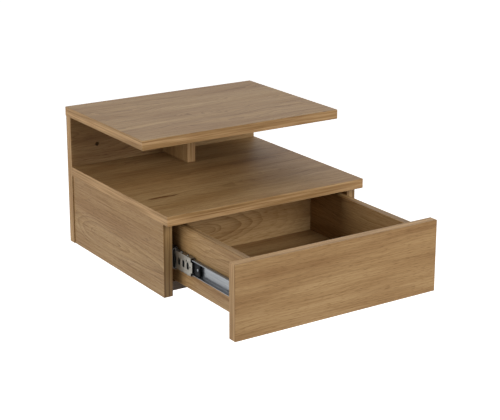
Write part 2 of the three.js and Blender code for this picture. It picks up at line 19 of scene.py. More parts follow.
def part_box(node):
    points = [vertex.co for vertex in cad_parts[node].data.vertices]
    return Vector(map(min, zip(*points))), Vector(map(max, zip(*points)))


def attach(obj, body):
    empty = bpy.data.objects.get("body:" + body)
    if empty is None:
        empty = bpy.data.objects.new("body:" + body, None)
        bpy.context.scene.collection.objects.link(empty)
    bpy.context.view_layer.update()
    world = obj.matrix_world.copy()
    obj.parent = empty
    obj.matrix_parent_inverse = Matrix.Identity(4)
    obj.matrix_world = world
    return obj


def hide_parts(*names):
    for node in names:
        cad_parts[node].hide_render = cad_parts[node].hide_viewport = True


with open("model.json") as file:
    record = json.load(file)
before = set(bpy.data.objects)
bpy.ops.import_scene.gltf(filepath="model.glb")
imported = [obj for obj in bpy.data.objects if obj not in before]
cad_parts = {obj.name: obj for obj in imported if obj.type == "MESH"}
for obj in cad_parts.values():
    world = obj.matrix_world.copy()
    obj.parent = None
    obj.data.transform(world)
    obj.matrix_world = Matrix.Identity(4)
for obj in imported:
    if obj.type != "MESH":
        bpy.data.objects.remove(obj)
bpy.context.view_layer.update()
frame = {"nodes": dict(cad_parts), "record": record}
nodes = frame["nodes"]

# %% [markdown]
# ## Colours and nodes
#
# A colour is written as it looks on a screen, as a hex code. Blender's sockets take linear light,
# so one function turns the code into it. A second function starts a material with an empty tree,
# and a third adds a node to a tree. What it is told for an input is linked if it comes from another
# node, and is typed into the socket if it doesn't.

# %% Three helpers for materials
def linear(code):
    """The linear colour of an sRGB hex code."""
    parts = [int(code[i : i + 2], 16) / 255 for i in (1, 3, 5)]
    bent = [c / 12.92 if c <= 0.04045 else ((c + 0.055) / 1.055) ** 2.4 for c in parts]
    return (*bent, 1.0)


def empty_material(name):
    """A new material and its node tree, with nothing in it yet."""
    material = bpy.data.materials.new(name)
    material.use_nodes = True
    material.node_tree.nodes.clear()
    return material, material.node_tree


def add(tree, kind, inputs=None, **settings):
    """A new node with its settings, and its inputs linked or filled in."""
    node = tree.nodes.new(kind)
    for name, value in settings.items():
        setattr(node, name, value)
    for key, value in (inputs or {}).items():
        if isinstance(value, bpy.types.NodeSocket):
            tree.links.new(value, node.inputs[key])
        else:
            node.inputs[key].default_value = value
    return node


print("oak in linear light:", [round(c, 3) for c in linear("#9d7d58")])

# %% [markdown]
# ## The camera
#
# The photograph was taken from the front left, a little above the top board, with a long lens. The
# place and the focal length come from the corners and edges of the boards, whose real sizes are
# known. A long lens from two metres keeps the far side nearly as large as the near one. Upright
# edges come out parallel in such a picture when the lens is slid down instead of tilted, so a
# tenth of the frame is taken that way here.

# %% The camera
FRAME_WIDTH = 500  # pixels
FOCAL_LENGTH = 1378.24  # in the same pixels, as it comes out of the fit

aim = Vector((0, -0.2, -0.06))
bearing = math.radians(-33.381)
tilt = math.radians(15.901)
turn = (
    Matrix.Rotation(bearing, 4, "Z")
    @ Matrix.Rotation(math.pi / 2 - tilt, 4, "X")
    @ Matrix.Rotation(math.radians(0.11), 4, "Z")
)
from_aim = Vector((0.03684, 0.05521, 2.14802))
lens = bpy.data.cameras.new("camera")
lens.sensor_width = 36
lens.lens = FOCAL_LENGTH / FRAME_WIDTH * lens.sensor_width
lens.shift_y = -0.1
lens.clip_start = 0.05
lens.dof.use_dof = False
camera = bpy.data.objects.new("camera", lens)
camera.matrix_world = Matrix.Translation(aim + turn.to_3x3() @ from_aim) @ turn
bpy.context.scene.collection.objects.link(camera)
bpy.context.scene.camera = camera
bpy.context.scene.view_settings.view_transform = "Standard"
print("camera at", [round(x, 3) for x in camera.matrix_world.translation])

# %% [markdown]
# ## Light and floor
#
# A piece for a shop picture stands between large softboxes. One is in front, a little to the right
# and above, and makes the drawer front the brightest face. One is on the left, hardly higher than
# the piece, so that it lights the side without reaching down into the drawer or behind the side
# board's front edge. A weak one behind brightens the upper faces. The niche and the drawer are left
# in soft shade. The world is plain white where the camera or a shiny surface looks at it, and only
# a faint lamp.

# %% The white surroundings
def seen_directly(tree):
    """1 for a ray from the camera or off a shiny or clear surface, and 0 for soft light."""
    rays = add(tree, "ShaderNodeLightPath")
    looked_at = rays.outputs["Is Camera Ray"]
    for other in ("Is Glossy Ray", "Is Transmission Ray"):
        pair = {0: looked_at, 1: rays.outputs[other]}
        looked_at = add(tree, "ShaderNodeMath", pair, operation="MAXIMUM").outputs[0]
    return looked_at


world = bpy.data.worlds.new("studio")
world.use_nodes = True
tree = world.node_tree
tree.nodes.clear()
strength = add(tree, "ShaderNodeMapRange", {0: seen_directly(tree), 3: 0.08, 4: 1.0})
white = {"Color": linear("#ffffff"), "Strength": strength.outputs[0]}
surroundings = add(tree, "ShaderNodeBackground", white)
add(tree, "ShaderNodeOutputWorld", {"Surface": surroundings.outputs[0]})
bpy.context.scene.world = world
print("world nodes:", len(tree.nodes))


# %% The softbox
def softbox(name, azimuth, elevation, distance, size, power):
    """A square lamp that faces the nightstand. Azimuth 0 is in front, and left is negative."""
    lamp = bpy.data.lights.new(name, "AREA")
    lamp.shape = "SQUARE"
    lamp.size = size
    lamp.energy = power
    lit = bpy.data.objects.new(name, lamp)
    turned = Matrix.Rotation(math.radians(azimuth), 4, "Z") @ Matrix.Rotation(
        math.radians(90 - elevation), 4, "X"
    )
    middle = Vector((0, -0.25, -0.05))
    back = turned.to_3x3() @ Vector((0, 0, distance))
    lit.matrix_world = Matrix.Translation(middle + back) @ turned
    lit.visible_camera = False
    bpy.context.scene.collection.objects.link(lit)
    return lit


softboxes = [
    softbox("front_softbox", 14, 25, 2.2, 1.6, 40),
    softbox("left_softbox", -106, 20, 2.2, 1.4, 27),
    softbox("back_softbox", 140, 50, 2.2, 1.4, 8),
]
for lamp in softboxes:
    print(lamp.name, "at", [round(x, 2) for x in lamp.matrix_world.translation])

# %% The floor
bpy.ops.mesh.primitive_plane_add(size=14, location=(0, 0, 0))
floor = bpy.context.object
floor.name = "floor"
floor.data.transform(Matrix.Translation((0, 2.0, -0.61)))
paper, tree = empty_material("white paper floor")
glow = add(tree, "ShaderNodeMapRange", {0: seen_directly(tree), 3: 0.0, 4: 0.95})
sheet = add(
    tree,
    "ShaderNodeBsdfPrincipled",
    {
        "Base Color": linear("#e9e7e4"),
        "Roughness": 0.9,
        "Emission Color": linear("#ffffff"),
        "Emission Strength": glow.outputs[0],
    },
)
add(tree, "ShaderNodeOutputMaterial", {"Surface": sheet.outputs[0]})
floor.data.materials.append(paper)
print("floor at", floor.data.vertices[0].co.z)

# %% [markdown]
# ## The oak boards
#
# The real surface is melamine, which is paper printed with an oak pattern, soaked in resin and
# pressed on chipboard between steel plates. That gives the eye a flat satin skin whose picture is
# livelier than its relief. The print shows four things at once: long growth rings that close into
# pointed arches where the saw cut near the heart, fine fibres, dark pores, and slow changes of
# tone. Each is one texture here. All of them read the board's own place in millimetres, turned so
# that the first number runs along the grain, so a ring is as wide as a real one.
#
# The edge strips are cut from the same print, so their lines run along the edge. They show as two
# or three stripes through the 15 mm of a board, a pale one and a darker one side by side. Where a
# hole or a groove goes into a board, the pressed wood chips of its core come to light.

# %% Where a point is on its board
def board_place(tree, grain, thickness):
    """A vector in millimetres: along the grain, across it, and through the board."""
    across = ({"X", "Y", "Z"} - {grain, thickness}).pop()
    place = add(tree, "ShaderNodeTexCoord")
    metres = {0: place.outputs["Object"], "Scale": 1000.0}
    millimetres = add(tree, "ShaderNodeVectorMath", metres, operation="SCALE")
    axes = add(tree, "ShaderNodeSeparateXYZ", {0: millimetres.outputs[0]})
    ways = axes.outputs
    turned_axes = {"X": ways[grain], "Y": ways[across], "Z": ways[thickness]}
    return add(tree, "ShaderNodeCombineXYZ", turned_axes).outputs[0]


def pattern(tree, place, size, shift=(0, 0, 0), detail=2.0, distortion=0.0):
    """Noise whose blotches are as long, as wide and as deep as size says, in millimetres."""
    stretched = {0: place, "Location": shift, "Scale": [1 / s for s in size]}
    scaled = add(tree, "ShaderNodeMapping", stretched)
    noise = {"Vector": scaled.outputs[0], "Scale": 1.0, "Detail": detail, "Distortion": distortion}
    return add(tree, "ShaderNodeTexNoise", noise).outputs["Fac"]


# %% The growth rings
def growth_rings(tree, place, heart, stretch, width, shift, wave, reach):
    """Rings round a heart line, each of them slowly darker outwards and then pale at once.

    The stretch says how much longer than wide they are, before the heart and after it. They
    wander by the wave, in millimetres, and grow faint further out than their reach.
    """
    before, after = (1 / s for s in stretch)
    centred = {0: place, "Location": (-heart[0], -heart[1], 0), "Scale": (1, 1, 0)}
    from_heart = add(tree, "ShaderNodeMapping", centred).outputs[0]
    axes = add(tree, "ShaderNodeSeparateXYZ", {0: from_heart})
    ahead = add(tree, "ShaderNodeMath", {0: axes.outputs["X"]}, operation="ABSOLUTE")
    evenly = {0: axes.outputs["X"], 1: (after + before) / 2}
    evenly = add(tree, "ShaderNodeMath", evenly, operation="MULTIPLY")
    leaning = {0: ahead.outputs[0], 1: (after - before) / 2, 2: evenly.outputs[0]}
    leaning = add(tree, "ShaderNodeMath", leaning, operation="MULTIPLY_ADD")
    squeezed = {"X": leaning.outputs[0], "Y": axes.outputs["Y"]}
    squeezed = add(tree, "ShaderNodeCombineXYZ", squeezed).outputs[0]
    radius = add(tree, "ShaderNodeVectorMath", {0: squeezed}, operation="LENGTH")
    slow = pattern(tree, place, (150, 46, 46), shift, 2.0)
    quick = pattern(tree, place, (30, 6, 6), shift, 2.0)
    bent = {0: slow, 1: wave, 2: radius.outputs["Value"]}
    waved = add(tree, "ShaderNodeMath", bent, operation="MULTIPLY_ADD")
    again = {0: quick, 1: 2.4, 2: waved.outputs[0]}
    frayed = add(tree, "ShaderNodeMath", again, operation="MULTIPLY_ADD")
    counted = add(tree, "ShaderNodeMath", {0: frayed.outputs[0], 1: width}, operation="DIVIDE")
    years = {"W": counted.outputs[0], "Scale": 0.45, "Detail": 1.0}
    uneven = add(tree, "ShaderNodeTexNoise", years, noise_dimensions="1D")
    moved = {0: uneven.outputs["Fac"], 1: 2.6, 2: counted.outputs[0]}
    number = add(tree, "ShaderNodeMath", moved, operation="MULTIPLY_ADD")
    part = add(tree, "ShaderNodeMath", {0: number.outputs[0]}, operation="FRACT")
    ring = add(tree, "ShaderNodeMath", {0: part.outputs[0], 1: 1.8}, operation="POWER")
    faint = {0: waved.outputs[0], 1: reach, 2: reach * 1.5, 3: 1.0, 4: 0.3}
    strength = add(tree, "ShaderNodeMapRange", faint)
    shown = {0: ring.outputs[0], 1: strength.outputs[0]}
    return add(tree, "ShaderNodeMath", shown, operation="MULTIPLY").outputs[0]


# %% Colours that follow a pattern
def tinted(tree, factor, low, high, pale, dark):
    """Goes from the pale to the dark colour as the factor goes from low to high."""
    share = add(tree, "ShaderNodeMapRange", {0: factor, 1: low, 2: high})
    colours = {0: share.outputs[0], 6: pale, 7: dark}
    return add(tree, "ShaderNodeMix", colours, data_type="RGBA").outputs[2]


def darker(tree, colour, factor, low, high, shade):
    """Multiplies a colour by a shade where the factor is high."""
    share = add(tree, "ShaderNodeMapRange", {0: factor, 1: low, 2: high})
    colours = {0: share.outputs[0], 6: colour, 7: shade}
    mixed = add(tree, "ShaderNodeMix", colours, data_type="RGBA", blend_type="MULTIPLY")
    return mixed.outputs[2]


# %% A split in the wood
def open_split(tree, place, face, split, shift):
    """Darkens a torn patch of the print, given by its place, length and breadth."""
    along, across, length, breadth = split
    centred = {
        0: place,
        "Location": (-along / length * 2, -across / breadth * 2, 0),
        "Scale": (2 / length, 2 / breadth, 0),
    }
    near = add(tree, "ShaderNodeMapping", centred)
    away = add(tree, "ShaderNodeVectorMath", {0: near.outputs[0]}, operation="LENGTH")
    rough = pattern(tree, place, (16, 2.2, 2.2), shift, 2.0)
    reach = add(tree, "ShaderNodeMath", {0: rough, 1: -1.1, 2: 1.5}, operation="MULTIPLY_ADD")
    inside = {0: reach.outputs[0], 1: away.outputs["Value"]}
    depth = add(tree, "ShaderNodeMath", inside, operation="SUBTRACT")
    return darker(tree, face, depth.outputs[0], 0.0, 0.35, linear("#a08667"))


# %% Inside a board
PRINT_DEPTH = 0.0008


def inside_board(tree, box):
    """1 where a face lies deeper in the board than its print, as in a drilled hole."""
    low, high = (Vector(corner) for corner in box)
    middle = (low + high) / 2
    reach = (high - low) / 2 - Vector((PRINT_DEPTH, PRINT_DEPTH, PRINT_DEPTH))
    place = add(tree, "ShaderNodeTexCoord").outputs["Object"]
    to_core = {
        0: place,
        "Location": [-m / r for m, r in zip(middle, reach)],
        "Scale": [1 / r for r in reach],
    }
    from_middle = add(tree, "ShaderNodeMapping", to_core)
    sizes = add(tree, "ShaderNodeVectorMath", {0: from_middle.outputs[0]}, operation="ABSOLUTE")
    axes = add(tree, "ShaderNodeSeparateXYZ", {0: sizes.outputs[0]})
    two = {0: axes.outputs["X"], 1: axes.outputs["Y"]}
    further = add(tree, "ShaderNodeMath", two, operation="MAXIMUM")
    three = {0: further.outputs[0], 1: axes.outputs["Z"]}
    furthest = add(tree, "ShaderNodeMath", three, operation="MAXIMUM")
    core = add(tree, "ShaderNodeMath", {0: furthest.outputs[0], 1: 1.0}, operation="LESS_THAN")
    return core.outputs[0]


# %% The oak print
# Each pair is the pale and the dark tone of one batch of print. Boards and edge strips come from
# different rolls, so the plain print and strip don't match quite. The other pairs are lighter or
# darker copies of them: a lighter print with painted light for the drawer's back and left side,
# darker strips with painted shade for the edges of the side boards and drawer sides, and a much
# darker strip with painted deep shade for the edges of the bottom rail.
PRINT = ("#ad8e63", "#917249")
PAINTED_LIGHT_PRINT = ("#ba9a6d", "#9b7b51")
STRIP = ("#bc986b", "#937044")
PAINTED_SHADE_STRIP = ("#9a7c52", "#735632")
DEEP_PAINTED_SHADE_STRIP = ("#47341b", "#342411")


def oak_board(
    name,
    box,
    grain,
    thickness,
    heart,
    stretch=(9, 9),
    width=4.8,
    shift=(0, 0, 0),
    wave=36.0,
    reach=1000.0,
    clear=0.8,
    split=None,
    colours=PRINT,
    strip=STRIP,
):
    """Oak print on a board, its edge strips, and the chipboard under them."""
    material, tree = empty_material(name)
    place = board_place(tree, grain, thickness)
    rings = growth_rings(tree, place, heart, stretch, width, shift, wave, reach)
    flames = pattern(tree, place, (210, 26, 26), shift, 3.0)
    # Real fibres are 0.1 to 0.3 mm wide. They are drawn six times as coarse, or they wouldn't show.
    fibres = pattern(tree, place, (90, 1.7, 1.7), shift, 3.0)
    pores = pattern(tree, place, (13, 0.9, 0.9), shift, 1.0)
    tone = pattern(tree, place, (330, 90, 90), shift, 1.0)
    face = tinted(tree, rings, 0.0, 1 / clear, linear(colours[0]), linear(colours[1]))
    face = darker(tree, face, flames, 0.42, 0.68, linear("#e0d5c5"))
    face = darker(tree, face, fibres, 0.40, 0.70, linear("#e6ded2"))
    face = darker(tree, face, pores, 0.56, 0.72, linear("#d6cab8"))
    face = darker(tree, face, tone, 0.40, 0.65, linear("#eae2d6"))
    if split:
        face = open_split(tree, place, face, split, shift)
    stripes = pattern(tree, place, (170, 170, 3.6), shift, 2.0)
    edging = tinted(tree, stripes, 0.40, 0.60, linear(strip[0]), linear(strip[1]))
    lines = pattern(tree, place, (60, 60, 1.1), shift)
    edging = darker(tree, edging, lines, 0.5, 0.7, linear("#d8cab6"))
    facing = add(tree, "ShaderNodeTexCoord").outputs["Normal"]
    facing = add(tree, "ShaderNodeSeparateXYZ", {0: facing})
    flat = add(tree, "ShaderNodeMath", {0: facing.outputs[thickness]}, operation="ABSOLUTE")
    edge = add(tree, "ShaderNodeMath", {0: flat.outputs[0], 1: 0.6}, operation="LESS_THAN")
    skin = {0: edge.outputs[0], 6: face, 7: edging}
    skin = add(tree, "ShaderNodeMix", skin, data_type="RGBA").outputs[2]
    # The chips of the core are a few millimetres long and lie every way, so it looks crumbly. Its
    # colours are darker than bare chips: painted shade, for the holes and grooves that show it lie
    # in shade.
    chips = pattern(tree, place, (2.2, 2.2, 1.2), shift, 3.0)
    core = tinted(tree, chips, 0.35, 0.65, linear("#b09268"), linear("#7d6343"))
    deep = inside_board(tree, box)
    colour = add(tree, "ShaderNodeMix", {0: deep, 6: skin, 7: core}, data_type="RGBA")
    gloss = add(tree, "ShaderNodeMapRange", {0: fibres, 1: 0.3, 2: 0.7, 3: 0.46, 4: 0.58})
    dry = add(tree, "ShaderNodeMix", {0: deep, 2: gloss.outputs[0], 3: 0.95}, data_type="FLOAT")
    relief = {"Strength": 0.12, "Distance": 0.0003, "Height": fibres}
    pressed = add(tree, "ShaderNodeBump", relief)
    resin = {
        "Base Color": colour.outputs[2],
        "Roughness": dry.outputs[0],
        "IOR": 1.5,
        "Specular IOR Level": 0.3,
        "Normal": pressed.outputs[0],
    }
    surface = add(tree, "ShaderNodeBsdfPrincipled", resin)
    add(tree, "ShaderNodeOutputMaterial", {"Surface": surface.outputs[0]})
    return material


# %% Every board and its grain
# The heart is where the rings have their middle, in millimetres along the grain and across it. The
# shift picks another stretch of the noise, so that no two boards are alike.
prints = {
    "top_panel": {
        "grain": "X",
        "thickness": "Z",
        "heart": (-260, 90),
        "stretch": (9, 14),
        "shift": (3, 1, 4),
        "wave": 70.0,
        "clear": 1.1,
    },
    "shelf_panel": {
        "grain": "X",
        "thickness": "Z",
        "heart": (30, -520),
        "shift": (8, 5, 2),
        "wave": 64.0,
        "split": (-132, -234, 66, 9),
    },
    "back_panel": {"grain": "X", "thickness": "Y", "heart": (-210, 20), "shift": (2, 7, 9)},
    # The side boards and drawer sides take the darker edge strip, which is painted shade.
    "side_panel_left": {
        "grain": "Y",
        "thickness": "X",
        "heart": (-98, -119),
        "stretch": (11, 3.2),
        "width": 5.2,
        "shift": (5, 2, 6),
        "wave": 13.0,
        "reach": 28.0,
        "clear": 0.9,
        "strip": PAINTED_SHADE_STRIP,
    },
    "side_panel_right": {
        "grain": "Y",
        "thickness": "X",
        "heart": (-90, -130),
        "shift": (1, 9, 3),
        "strip": PAINTED_SHADE_STRIP,
    },
    # The bottom rail's edge strip is very dark: painted deep shade, for it lies behind the open
    # drawer.
    "bottom_rail": {
        "grain": "X",
        "thickness": "Z",
        "heart": (0, -400),
        "shift": (6, 6, 6),
        "strip": DEEP_PAINTED_SHADE_STRIP,
    },
    "centre_support": {"grain": "Z", "thickness": "X", "heart": (0, -200), "shift": (9, 3, 1)},
    # The drawer front's shift puts the darker tone towards its right end: painted shade that evens
    # out the light, which falls brighter on that end.
    "drawer_front": {
        "grain": "X",
        "thickness": "Y",
        "heart": (90, -250),
        "shift": (2, 9.5, 8),
        "clear": 0.45,
    },
    # The drawer's back and its left side take a lighter copy of the print, which is painted light.
    "drawer_back": {
        "grain": "X",
        "thickness": "Y",
        "heart": (-72, -95),
        "stretch": (9, 3.6),
        "width": 6.0,
        "shift": (7, 4, 8),
        "wave": 14.0,
        "reach": 32.0,
        "clear": 1.1,
        "colours": PAINTED_LIGHT_PRINT,
    },
    "drawer_side_left": {
        "grain": "Y",
        "thickness": "X",
        "heart": (-420, -160),
        "shift": (2, 2, 2),
        "colours": PAINTED_LIGHT_PRINT,
        "strip": PAINTED_SHADE_STRIP,
    },
    "drawer_side_right": {
        "grain": "Y",
        "thickness": "X",
        "heart": (-300, -30),
        "shift": (3, 6, 9),
        "strip": PAINTED_SHADE_STRIP,
    },
    "drawer_bottom": {"grain": "X", "thickness": "Z", "heart": (0, -700), "shift": (1, 4, 7)},
}
for name, look in prints.items():
    finishes = nodes[name].data.materials
    finishes.clear()
    finishes.append(oak_board(f"oak print melamine on {name}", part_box(name), **look))
print("boards:", len(prints))

# %% [markdown]
# ## Steel, zinc, plastic and beech
#
# A metal has no colour of its own under the shine, so its base colour tints the reflection, and
# its roughness says how blurred the reflection is. The runners are rolled from steel strip with a
# bright zinc coat, which leaves fine lines along the strip. Their ball cages carry grease and look
# duller and warmer. The cams and screws are plated in a drum and come out even and bright.

# %% Metals
def metal(name, pale, dark, rough, size, bump):
    """Metal whose tone and gloss vary in streaks of one size, in millimetres."""
    material, tree = empty_material(name)
    place = board_place(tree, "Y", "X")
    streaks = pattern(tree, place, size, detail=3.0)
    clouds = pattern(tree, place, (30, 14, 14), detail=2.0)
    colour = tinted(tree, streaks, 0.35, 0.65, linear(pale), linear(dark))
    gloss = add(tree, "ShaderNodeMapRange", {0: clouds, 1: 0.3, 2: 0.7, 3: rough[0], 4: rough[1]})
    rolled_lines = {"Strength": bump, "Distance": 0.0002, "Height": streaks}
    relief = add(tree, "ShaderNodeBump", rolled_lines)
    coat = {
        "Base Color": colour,
        "Metallic": 1.0,
        "Roughness": gloss.outputs[0],
        "Normal": relief.outputs[0],
    }
    surface = add(tree, "ShaderNodeBsdfPrincipled", coat)
    add(tree, "ShaderNodeOutputMaterial", {"Surface": surface.outputs[0]})
    return material


# Rolling leaves soft lines. They are drawn 0.8 mm wide, several times as coarse as real ones.
ROLLING_LINES = (60, 0.8, 0.8)
# Bright zinc is a bluish grey.
zinc_strip = metal(
    "bright zinc on rolled steel strip", "#8b8e90", "#74777c", (0.26, 0.38), ROLLING_LINES, 0.1
)
# The same strip under a film of grease, which warms and dulls it.
cage_strip = metal(
    "greased zinc on stamped steel strip", "#9b9890", "#838078", (0.34, 0.46), ROLLING_LINES, 0.1
)
# Ground chromium steel is nearly a mirror, and the grease on it makes it smooth. Its dark base
# colour is painted shade, which keeps the balls' reflections dim inside the runner.
ball_steel = metal(
    "ground chromium steel with grease and painted shade", "#5c5a55", "#4b4944", (0.18, 0.26), (4, 4, 4), 0.02
)
# Nickel on cast or turned parts: warm, even and bright, with the faint orange skin of plating.
plated = metal(
    "nickel plated steel and cast zinc", "#a5a29c", "#8a8781", (0.24, 0.36), (3, 3, 3), 0.1
)
print("metals:", zinc_strip.name, "/", cage_strip.name, "/", ball_steel.name, "/", plated.name)

# %% Black plastic
# Acetal is moulded in a spark eroded tool, so it is a deep black with a fine, greasy looking grain.
black_plastic, tree = empty_material("moulded black acetal")
place = board_place(tree, "Y", "X")
grain = pattern(tree, place, (0.8, 0.8, 0.8))
clouds = pattern(tree, place, (6, 6, 6))
colour = tinted(tree, clouds, 0.3, 0.7, linear("#131416"), linear("#0c0d0e"))
relief = add(tree, "ShaderNodeBump", {"Strength": 0.2, "Distance": 0.0002, "Height": grain})
gloss = add(tree, "ShaderNodeMapRange", {0: grain, 1: 0.3, 2: 0.7, 3: 0.4, 4: 0.55})
moulded = {
    "Base Color": colour,
    "Roughness": gloss.outputs[0],
    "IOR": 1.48,
    "Specular IOR Level": 0.12,
    "Normal": relief.outputs[0],
}
surface = add(tree, "ShaderNodeBsdfPrincipled", moulded)
add(tree, "ShaderNodeOutputMaterial", {"Surface": surface.outputs[0]})
print("plastic:", black_plastic.name)

# %% Beech
def beech_wood(name, grain):
    """Steamed beech turned into a peg: pinkish tan and dull, with short dark flecks."""
    material, tree = empty_material(name)
    place = board_place(tree, grain, "X" if grain != "X" else "Y")
    flecks = pattern(tree, place, (3.5, 0.5, 0.5), detail=1.0)
    bands = pattern(tree, place, (40, 2.2, 2.2), detail=2.0)
    colour = tinted(tree, bands, 0.35, 0.65, linear("#d2b084"), linear("#bd9566"))
    colour = darker(tree, colour, flecks, 0.58, 0.68, linear("#b08a66"))
    relief = add(tree, "ShaderNodeBump", {"Strength": 0.2, "Distance": 0.0002, "Height": flecks})
    wood = {"Base Color": colour, "Roughness": 0.62, "IOR": 1.5, "Normal": relief.outputs[0]}
    surface = add(tree, "ShaderNodeBsdfPrincipled", wood)
    add(tree, "ShaderNodeOutputMaterial", {"Surface": surface.outputs[0]})
    return material


beech = {axis: beech_wood(f"turned beech along {axis}", axis) for axis in "YZ"}
print("beech:", len(beech))

# %% [markdown]
# ## From a shape to a finished piece
#
# The imported model holds every fitting as a plain solid. A shop fitting has more to see: sockets
# and crosses for the driver, threads, flutes and folded steel. So each is built again here, in
# millimetres, round the upright axis, and is then turned, moved and scaled to metres. It takes
# the place of the imported solid and rides on the same body.

# %% Who carries what
TO_METRES = (0.001, 0.001, 0.001)
SIDES = (("left", -1), ("right", 1))
record = frame["record"]
body_of = {node: body for body, group in record["behaviour"]["bodies"].items() for node in group}


def placed(shape, at, along, sideways=None):
    """Turns a shape's Z one way and its X another, moves it there, and makes it metres."""
    z = Vector(along)
    x = Vector(sideways) if sideways else z.orthogonal().normalized()
    turn = Matrix((x, z.cross(x), z)).transposed().to_4x4()
    bmesh.ops.transform(shape, matrix=Matrix.Translation(at) @ turn, verts=shape.verts)
    bmesh.ops.scale(shape, vec=TO_METRES, verts=shape.verts)
    return shape


def finished(node, shape, *finishes, sharp=35):
    """Makes an object of a shape, in place of the CAD node of that name."""
    mesh = bpy.data.meshes.new(f"{node}_detail")
    shape.to_mesh(mesh)
    shape.free()
    for finish in finishes:
        mesh.materials.append(finish)
    mesh.shade_smooth()
    mesh.set_sharp_from_angle(angle=math.radians(sharp))
    piece = bpy.data.objects.new(f"{node}_detail", mesh)
    bpy.context.scene.collection.objects.link(piece)
    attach(piece, body_of[node])
    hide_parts(node)
    return piece


# %% [markdown]
# ## Screws
#
# A screw is turned on a lathe, so it starts as half of its outline, spun round the axis. The spin
# leaves a round opening in the head. The driver's hexagon or cross is drawn inside it, the ring
# between them is filled, and the outline is pushed down into the head. The thread is a triangle
# that climbs one pitch with every turn, which the same spin operator can do.

# %% Turning
def turned(profile, steps=32):
    """A shape turned on a lathe: a (radius, height) line spun round Z, in millimetres."""
    shape = bmesh.new()
    points = [shape.verts.new((radius, 0, height)) for radius, height in profile]
    line = [shape.edges.new(pair) for pair in zip(points, points[1:])]
    full = {"cent": (0, 0, 0), "axis": (0, 0, 1), "angle": math.tau, "use_merge": True}
    bmesh.ops.spin(shape, geom=points + line, steps=steps, **full)
    bmesh.ops.remove_doubles(shape, verts=shape.verts, dist=0.0005)
    bmesh.ops.recalc_face_normals(shape, faces=shape.faces)
    return shape


# %% The driver's recess
def hexagon(radius):
    """Six corners of a hexagon socket."""
    bearings = [math.tau * i / 6 for i in range(6)]
    return [(radius * math.cos(bearing), radius * math.sin(bearing)) for bearing in bearings]


def cross(reach, width):
    """Twelve corners of a cross recess."""
    a, b = reach, width / 2
    corner = [(a, -b), (a, b), (b, b)]
    quarters = ((1, 0), (0, 1), (-1, 0), (0, -1))  # the cosine and sine of each quarter turn
    return [(x * c - y * s, x * s + y * c) for c, s in quarters for x, y in corner]


def recessed(shape, outline, depth):
    """Sinks an outline into the flat end that the spin left open."""
    rim = [edge for edge in shape.edges if edge.is_boundary]
    level = rim[0].verts[0].co.z
    points = [shape.verts.new((x, y, level)) for x, y in outline]
    loop = [shape.edges.new((points[i - 1], points[i])) for i in range(len(points))]
    bmesh.ops.triangle_fill(shape, edges=rim + loop, use_beauty=True)
    wall = bmesh.ops.extrude_edge_only(shape, edges=loop)["geom"]
    low = [part for part in wall if isinstance(part, bmesh.types.BMVert)]
    bmesh.ops.translate(shape, verts=low, vec=(0, 0, depth))
    bmesh.ops.scale(shape, verts=low, vec=(0.88, 0.88, 1))
    floor_loop = [e for e in wall if isinstance(e, bmesh.types.BMEdge) and set(e.verts) <= set(low)]
    bmesh.ops.edgeloop_fill(shape, edges=floor_loop)
    bmesh.ops.recalc_face_normals(shape, faces=shape.faces)
    return shape


# %% The thread
def threaded(shape, crest, root, pitch, start, end, steps=14):
    """Winds a ridge round a shank from one height to another."""
    inner = root - 0.15
    corners = ((inner, start), (crest, start + 0.3 * pitch), (inner, start + 0.6 * pitch))
    points = [shape.verts.new((radius, 0, height)) for radius, height in corners]
    sides = [shape.edges.new((points[i - 1], points[i])) for i in range(3)]
    count = round(((end - start) / pitch - 0.6) * steps)
    climb = {"cent": (0, 0, 0), "axis": (0, 0, 1), "dvec": (0, 0, pitch / steps)}
    climb |= {"angle": math.tau * count / steps, "steps": count}
    wound = bmesh.ops.spin(shape, geom=points + sides, **climb)["geom_last"]
    shape.faces.new(points)
    shape.faces.new([part for part in wound if isinstance(part, bmesh.types.BMVert)])
    bmesh.ops.recalc_face_normals(shape, faces=shape.faces)
    return shape


# %% Three kinds of screw
def long_screw():
    """A 7 by 50 mm screw for chipboard, with a hexagon socket in a countersunk head."""
    line = [(2.9, 0), (4.8, 0), (5, 0.3), (3.5, 3), (3.5, 15), (1.8, 17.4), (1.8, 45), (0, 50)]
    shape = recessed(turned(line), hexagon(2), 2.5)
    return threaded(shape, 2.5, 1.8, 2.5, 17, 47.5)


def box_screw():
    """A 4 by 38 mm wood screw, with a cross in a countersunk head."""
    line = [(2.6, 0), (3.65, 0), (3.8, 0.2), (2, 2.6), (2, 5), (1.3, 6), (1.3, 34), (0, 38)]
    shape = recessed(turned(line), cross(2.1, 0.9), 1.9)
    return threaded(shape, 2, 1.3, 1.8, 5.6, 36)


def pan_screw(reach):
    """A 3.5 mm screw with a domed head that stands 1.8 mm proud of the runner."""
    dome = [(2.0, -1.8), (2.3, -1.77), (2.8, -1.5), (3.2, -1.05), (3.4, -0.5), (3.4, 0)]
    line = [*dome, (1.75, 0), (1.15, 0.7), (1.15, reach - 3), (0, reach)]
    shape = recessed(turned(line), cross(1.7, 0.8), 1.3)
    return threaded(shape, 1.75, 1.15, 1.4, 0.6, reach - 1)


